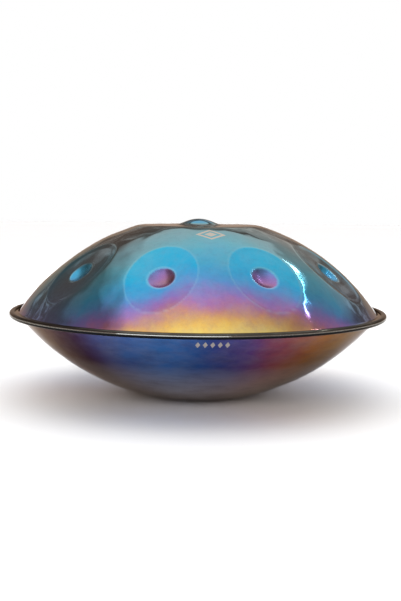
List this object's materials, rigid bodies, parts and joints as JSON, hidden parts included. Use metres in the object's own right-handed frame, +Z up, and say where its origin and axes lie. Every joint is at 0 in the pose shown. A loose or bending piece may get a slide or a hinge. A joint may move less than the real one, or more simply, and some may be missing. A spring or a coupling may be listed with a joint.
{
  "type": "handpan",
  "caption": "Handpan: two bonded steel shells with an edge band, dimpled note fields in a ring round a domed centre note, and a round port underneath.",
  "frame": {"origin": "on the axis, in the plane of the resting face round the port", "axes": "+Z up along the axis, out through the domed centre note; -Y is the player's side, where the gap between two note fields faces; +X to the player's right"},
  "size_m": [0.53, 0.53, 0.2492],
  "materials": {
    "top_steel": "polished",
    "bottom_steel": "polished",
    "adhesive": "satin",
    "band_steel": "polished"
  },
  "bodies": {
    "root": {"top_shell": "top_steel", "bottom_shell": "bottom_steel", "rim_bond": "adhesive", "edge_band": "band_steel"}
  },
  "joints": []
}
